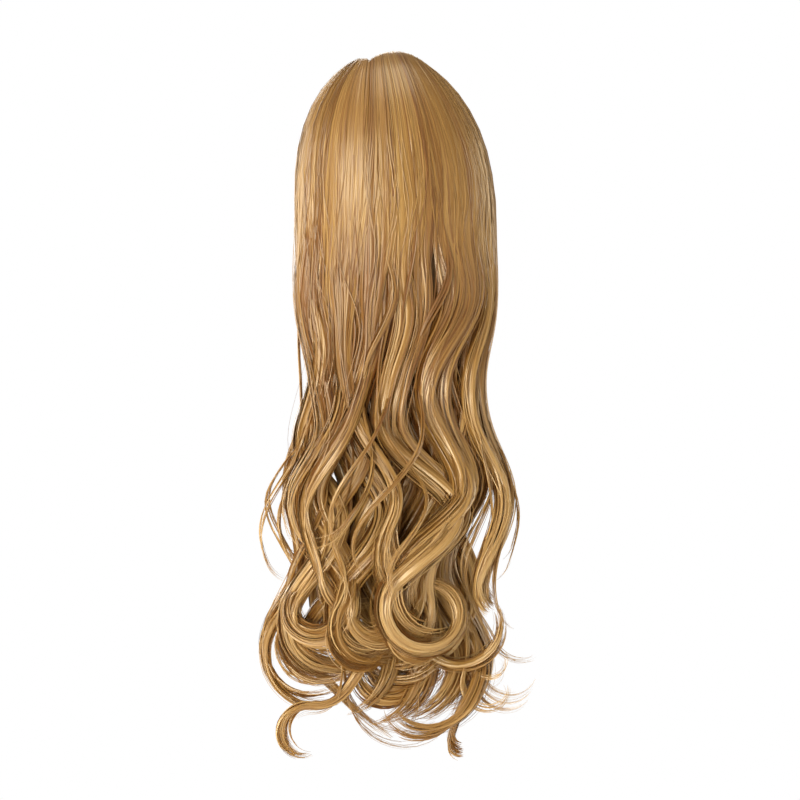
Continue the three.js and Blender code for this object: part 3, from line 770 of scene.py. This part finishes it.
def strips(paths, normals, half, roll, tone):
    """Flat strips of half widths on paths (strands, points, 3), shaded as if round, as arrays for a mesh."""
    count, points = paths.shape[:2]
    # Painted light on the tips, together with their own paler colour, and painted shade across the middle
    # heights.
    tone = tone[:, None] + np.interp(paths[..., 2], HEIGHT_TONE_AND_LIGHT_Z, HEIGHT_TONE_AND_LIGHT)
    forward = np.gradient(paths, axis=1)
    forward /= np.linalg.norm(forward, axis=-1, keepdims=True)
    wide = np.cross(forward, normals)
    wide /= np.linalg.norm(wide, axis=-1, keepdims=True)
    out = np.cross(wide, forward)
    turn = roll[:, None, None]
    wide, out = wide * np.cos(turn) + out * np.sin(turn), out * np.cos(turn) - wide * np.sin(turn)
    share = np.linspace(0, 1, points)
    slim = np.minimum(ROOT_WIDTH + ROOT_GROWTH * share, TIP_WIDTH + TIP_GROWTH * (1 - share))
    side = wide * (half[:, None] * np.minimum(1, slim))[..., None]
    tilt = wide * math.sin(EDGE_TILT)
    rounded = np.stack([out * math.cos(EDGE_TILT) - tilt, out * math.cos(EDGE_TILT) + tilt], 2)
    at = np.arange(count * points * 2).reshape(count, points, 2)
    a, b, c, d = at[:, :-1, 0], at[:, :-1, 1], at[:, 1:, 1], at[:, 1:, 0]
    faces = np.concatenate([np.stack([a, b, c], -1).reshape(-1, 3), np.stack([a, c, d], -1).reshape(-1, 3)])
    run = run_along(paths) / ALONG_UNIT
    run = run + random.uniform(0, ALONG_RANGE, count)[:, None]
    across = half[:, None, None] * np.array([-1, 1])
    across = across + random.uniform(0, ACROSS_RANGE, count)[:, None, None]
    fill = np.zeros((count, points, 2))
    return {
        "vertices": np.stack([paths - side, paths + side], 2).reshape(-1, 3),
        "normals": rounded.reshape(-1, 3),
        "faces": faces,
        "tone": (tone[..., None] + fill).ravel(),
        "along": (run[..., None] + fill).ravel(),
        "across": (across + fill).ravel(),
        "row": (np.array(BAKE_ROW) + np.arange(count)[:, None, None] + fill).ravel(),
        "share": (share[None, :, None] + fill).ravel(),
        "count": count,
    }


def strand_piece(name, batches):
    """One mesh object of several batches of strips."""
    starts = np.cumsum([0] + [len(b["vertices"]) for b in batches])
    rows = np.cumsum([0] + [b["count"] for b in batches])
    vertices = np.concatenate([b["vertices"] for b in batches]) * MM
    faces = np.concatenate([b["faces"] + s for b, s in zip(batches, starts)]).astype(np.int32)
    mesh = bpy.data.meshes.new(name)
    mesh.vertices.add(len(vertices))
    mesh.vertices.foreach_set("co", vertices.ravel())
    mesh.loops.add(faces.size)
    mesh.loops.foreach_set("vertex_index", faces.ravel())
    mesh.polygons.add(len(faces))
    mesh.polygons.foreach_set("loop_start", np.arange(0, faces.size, 3, dtype=np.int32))
    mesh.polygons.foreach_set("use_smooth", np.ones(len(faces), bool))
    for label in STRIP_VALUES:
        layer = mesh.attributes.new(label, "FLOAT", "POINT")
        layer.data.foreach_set("value", np.concatenate([b[label] for b in batches]).astype(np.float32))
    share = np.concatenate([b["share"] for b in batches])
    row = np.concatenate([b["row"] + r for b, r in zip(batches, rows)]) / rows[-1]
    layer = mesh.uv_layers.new(name="OFBake")
    layer.data.foreach_set("uv", np.stack([share, row], -1)[faces.ravel()].astype(np.float32).ravel())
    mesh.update()
    mesh.normals_split_custom_set_from_vertices(np.concatenate([b["normals"] for b in batches]).tolist())
    piece = bpy.data.objects.new(name, mesh)
    bpy.context.collection.objects.link(piece)
    return piece


# Light and dark streaks across the whole dome.
streak_places = np.linspace(-DOME_FALL_HALF, DOME_FALL_HALF, STREAK_COUNT)
streak_tones = random.normal(0, STREAK_TONE, STREAK_COUNT)


def bundle_batch(bundle):
    """A bundle's strips, each in its own tone and width."""
    clump = bundle["clump"]
    count = len(clump)
    paths, normals = through_dome(bundle)
    tone = MEAN_TONE + random.normal(0, CLUMP_TONE, clump.max() + 1)[clump]
    tone = tone + random.normal(0, STRAND_TONE, count)
    # The dome's streaks are the hair's own tone; the facing term is painted shade on a lock's inner side.
    tone = tone + np.interp(bundle["fall"], streak_places, streak_tones) + FACING_SHADE * bundle["facing"]
    # Painted shade on the deeper locks.
    tone = tone + LOCK_TONES.get(bundle["lock"]["name"], 0) - DEPTH_SHADE * bundle["lock"]["depth"]
    size = bundle["half_width"] * random.uniform(*STRAND_SIZES, count)
    return strips(paths, normals, size, random.normal(0, STRAND_ROLL, count), tone)


def piece_batches(bundles):
    """The strips of all bundles by the name of their piece. A piece has one kind and a most of triangles."""
    batches = {}
    for kind in STRAND_ROWS:
        part, filled = 1, 0
        for bundle in bundles:
            if bundle["kind"] != kind:
                continue
            batch = bundle_batch(bundle)
            if filled + len(batch["faces"]) > PIECE_TRIANGLES:
                part, filled = part + 1, 0
            filled += len(batch["faces"])
            batches.setdefault(f"hair_{kind}_{part}", []).append(batch)
    return batches


# Materials

def new_material(name):
    """A material with its nodes, links and shader."""
    material = bpy.data.materials.new(name)
    material.use_nodes = True
    tree = material.node_tree
    return material, tree.nodes, tree.links, tree.nodes["Principled BSDF"]


def set_inputs(node, values):
    """Sets sockets of a node, by their names or numbers."""
    for socket, value in values.items():
        node.inputs[socket].default_value = value


def colour_ramp(nodes, stops):
    """A ramp node through stops of place and colour."""
    ramp = nodes.new("ShaderNodeValToRGB")
    elements = ramp.color_ramp.elements
    for element, (place, colour) in zip(elements, (stops[0], stops[-1])):
        element.position = place
        element.color = colour
    for place, colour in stops[1:-1]:
        elements.new(place).color = colour
    return ramp


def hair_material():
    """Glossy fibre with fine streaks along each strip, in its own tone, with painted shade multiplied into
    its colour where other strands lie close by.
    """
    material, nodes, links, shader = new_material("hair_fibre")
    value = {}
    for label in STRIP_VALUES:
        node = nodes.new("ShaderNodeAttribute")
        node.attribute_name = label
        value[label] = node.outputs["Fac"]
    place = nodes.new("ShaderNodeCombineXYZ")
    links.new(value["along"], place.inputs["Y"])
    links.new(value["across"], place.inputs["X"])
    streak = nodes.new("ShaderNodeTexNoise")
    set_inputs(streak, {"Scale": 1.1, "Detail": 3})
    links.new(place.outputs["Vector"], streak.inputs["Vector"])
    shift = nodes.new("ShaderNodeMath")
    shift.operation = "MULTIPLY_ADD"
    set_inputs(shift, {1: STREAK_CONTRAST, 2: -STREAK_CONTRAST / 2})
    links.new(streak.outputs["Fac"], shift.inputs[0])
    total = nodes.new("ShaderNodeMath")
    links.new(shift.outputs["Value"], total.inputs[0])
    links.new(value["tone"], total.inputs[1])
    ramp = colour_ramp(nodes, HAIR_RAMP)
    links.new(total.outputs["Value"], ramp.inputs["Fac"])
    # Painted shade: ambient occlusion darkens the base colour where strands lie close behind others.
    occlusion_shade = nodes.new("ShaderNodeAmbientOcclusion")
    occlusion_shade.samples = SHADE_SAMPLES
    set_inputs(occlusion_shade, {"Distance": SHADE_DISTANCE * MM})
    shade = colour_ramp(nodes, SHADE_RAMP)
    links.new(occlusion_shade.outputs["AO"], shade.inputs["Fac"])
    deep = nodes.new("ShaderNodeMix")
    deep.data_type = "RGBA"
    deep.blend_type = "MULTIPLY"
    set_inputs(deep, {"Factor": 1})
    for ramp_node, socket in zip((ramp, shade), MIX_COLOURS):
        links.new(ramp_node.outputs["Color"], deep.inputs[socket])
    links.new(deep.outputs[MIX_RESULT], shader.inputs["Base Color"])
    set_inputs(shader, {
        "Roughness": 0.32,
        "Specular IOR Level": 1.0,
        "IOR": 1.56,
        "Specular Tint": (1, 0.86, 0.6, 1),
        "Sheen Weight": 0.32,
        "Sheen Roughness": 0.4,
        "Sheen Tint": (1, 0.7, 0.32, 1),
    })
    return material


def core_material():
    """Dull dark fibre with upright streaks, painted shade for the depths of the hair."""
    material, nodes, links, shader = new_material("hair_shadow")
    place = nodes.new("ShaderNodeTexCoord")
    stretch = nodes.new("ShaderNodeMapping")
    set_inputs(stretch, {"Scale": CORE_STREAKS})
    links.new(place.outputs["Object"], stretch.inputs["Vector"])
    streak = nodes.new("ShaderNodeTexNoise")
    set_inputs(streak, {"Scale": 1})
    links.new(stretch.outputs["Vector"], streak.inputs["Vector"])
    ramp = colour_ramp(nodes, SHADE_CORE_RAMP)
    links.new(streak.outputs["Fac"], ramp.inputs["Fac"])
    links.new(ramp.outputs["Color"], shader.inputs["Base Color"])
    set_inputs(shader, {"Roughness": 0.6})
    return material


def clip_material():
    """Brown plastic, a little mottled, with fine scuffs that dull and roughen it."""
    material, nodes, links, shader = new_material("clip_plastic")
    place = nodes.new("ShaderNodeTexCoord")
    mottle, scuff = [nodes.new("ShaderNodeTexNoise") for _ in range(2)]
    set_inputs(mottle, {"Scale": 160, "Detail": 3})
    set_inputs(scuff, {"Scale": 1400})
    for noise in (mottle, scuff):
        links.new(place.outputs["Object"], noise.inputs["Vector"])
    ramp = colour_ramp(nodes, CLIP_RAMP)
    links.new(mottle.outputs["Fac"], ramp.inputs["Fac"])
    links.new(ramp.outputs["Color"], shader.inputs["Base Color"])
    dull = nodes.new("ShaderNodeMapRange")
    set_inputs(dull, {"To Min": 0.2, "To Max": 0.42})
    links.new(scuff.outputs["Fac"], dull.inputs["Value"])
    links.new(dull.outputs["Result"], shader.inputs["Roughness"])
    bump = nodes.new("ShaderNodeBump")
    set_inputs(bump, {"Strength": 0.08, "Distance": CLIP_SCUFF_DEPTH * MM})
    links.new(scuff.outputs["Fac"], bump.inputs["Height"])
    links.new(bump.outputs["Normal"], shader.inputs["Normal"])
    return material


# The dark inner body, painted shade between the strands

def grid_piece(name, front, back):
    """The closed solid between two grids of points (rows, columns, 3) in millimetres."""
    rows, columns = front.shape[:2]
    vertices = np.concatenate([front.reshape(-1, 3), back.reshape(-1, 3)]) * MM
    at = np.arange(rows * columns).reshape(rows, columns)
    far = rows * columns
    a, b, c, d = at[:-1, :-1].ravel(), at[:-1, 1:].ravel(), at[1:, 1:].ravel(), at[1:, :-1].ravel()
    faces = np.concatenate([np.stack([a, b, c, d], -1), np.stack([a, d, c, b], -1) + far])
    border = np.concatenate([at[0, :-1], at[:-1, -1], at[-1, :0:-1], at[:0:-1, 0]])
    after = np.roll(border, -1)
    faces = np.concatenate([faces, np.stack([border, border + far, after + far, after], -1)])
    mesh = bpy.data.meshes.new(name)
    mesh.from_pydata(vertices.tolist(), [], faces.tolist())
    mesh.shade_smooth()
    piece = bpy.data.objects.new(name, mesh)
    bpy.context.collection.objects.link(piece)
    return piece


def make_core():
    """The dark body of painted shade between the dome's strands and the inner ones, which thins out below
    the fan.
    """
    fall = np.linspace(-CORE_FALL_HALF, CORE_FALL_HALF, CORE_COLUMNS)
    fan = dome_lines(comb(fall), np.linspace(CORE_TOP_STATION, 1, CORE_FAN_ROWS), np.zeros_like)
    hang_z = np.linspace(DOME_FALL_Z, CORE_BOTTOM_Z, CORE_HANG_ROWS + 1)[1:]
    hang_x = fall[:, None] * waist(hang_z)
    hang_z = np.broadcast_to(hang_z, hang_x.shape)
    hang = np.stack([hang_x, outer_y(hang_x, hang_z), hang_z], -1)
    surface = np.concatenate([fan, hang], 1)
    inward = on_hollow(surface) - surface
    thinning = lowered(surface[..., 2], DOME_FALL_Z, CORE_BOTTOM_Z)[..., None]
    sink = CORE_FRONT + CORE_THINNING * (CORE_BACK - CORE_FRONT) * thinning
    core = grid_piece("hair_shade_core", surface + inward * sink, surface + inward * CORE_BACK)
    core.data.materials.append(core_material())
    return core


# Camera, light and stage

def make_camera():
    """A level camera far behind the hair, with the origin at its pixel."""
    data = bpy.data.cameras.new("camera")
    camera = bpy.data.objects.new("camera", data)
    bpy.context.collection.objects.link(camera)
    camera.location = (
        (IMAGE_SIDE / 2 - ORIGIN_PIXEL[0]) * PIXEL * MM,
        (PICTURE_PLANE_Y - CAMERA_DISTANCE) * MM,
        (ORIGIN_PIXEL[1] - IMAGE_SIDE / 2) * PIXEL * MM,
    )
    camera.rotation_euler = (math.pi / 2, 0, 0)
    data.angle = 2 * math.atan(IMAGE_SIDE * PIXEL / 2 / CAMERA_DISTANCE)
    data.clip_start = CAMERA_NEAREST
    bpy.context.scene.camera = camera


def area_light(name, place, target, size, watts):
    """A rectangular light that faces its target."""
    data = bpy.data.lights.new(name, "AREA")
    data.shape = "RECTANGLE"
    data.size, data.size_y = size
    data.energy = watts
    light = bpy.data.objects.new(name, data)
    bpy.context.collection.objects.link(light)
    light.location = place
    aim = np.array(target) - np.array(place)
    level = math.hypot(aim[0], aim[1])
    light.rotation_euler = (math.atan2(level, -aim[2]), 0, math.atan2(-aim[0], aim[1]))


def make_world():
    """A white background that lights the hair less than it shows."""
    world = bpy.data.worlds.new("studio")
    bpy.context.scene.world = world
    world.use_nodes = True
    nodes, links = world.node_tree.nodes, world.node_tree.links
    ray = nodes.new("ShaderNodeLightPath")
    level = nodes.new("ShaderNodeMapRange")
    set_inputs(level, {"To Min": AMBIENT, "To Max": 1})
    links.new(ray.outputs["Is Camera Ray"], level.inputs["Value"])
    links.new(level.outputs["Result"], nodes["Background"].inputs["Strength"])
    set_inputs(nodes["Background"], {"Color": WHITE})


def floor_material():
    """Pale grey that glows white towards the floor's rim."""
    material, nodes, links, shader = new_material("studio_white")
    set_inputs(shader, {"Base Color": PALE_GREY, "Roughness": 0.9, "Emission Color": WHITE})
    place = nodes.new("ShaderNodeTexCoord")
    reach = nodes.new("ShaderNodeVectorMath")
    reach.operation = "LENGTH"
    links.new(place.outputs["Object"], reach.inputs[0])
    glow = nodes.new("ShaderNodeMapRange")
    set_inputs(glow, {"From Min": FLOOR_GLOW[0] * FLOOR_RADIUS, "From Max": FLOOR_GLOW[1] * FLOOR_RADIUS})
    links.new(reach.outputs["Value"], glow.inputs["Value"])
    links.new(glow.outputs["Result"], shader.inputs["Emission Strength"])
    return material


def make_floor():
    """The round floor, which is part of the stage."""
    bpy.ops.mesh.primitive_circle_add(
        vertices=FLOOR_SIDES,
        radius=FLOOR_RADIUS,
        fill_type="NGON",
        location=(0, 0, FLOOR_Z),
    )
    floor = bpy.context.object
    floor.name = "floor"
    floor.data.materials.append(floor_material())
    return floor


# The scene

bundles = [make_bundle(lock) for lock in lock_table()]
settle_in_dome(bundles)
fibre = hair_material()
pieces = []
for name, batches in piece_batches(bundles).items():
    piece = strand_piece(name, batches)
    piece.data.materials.append(fibre)
    pieces.append(piece)
core = make_core()
pieces.append(core)

clip = bpy.data.objects["claw_clip"]
clip.data.materials.clear()
clip.data.materials.append(clip_material())

for piece in pieces:
    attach(piece, "root")
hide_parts("hair")

make_camera()
for name, row in LIGHT_ROWS.items():
    area_light(name, *row)
make_world()
floor = make_floor()

bpy.context.scene.view_settings.view_transform = "Standard"
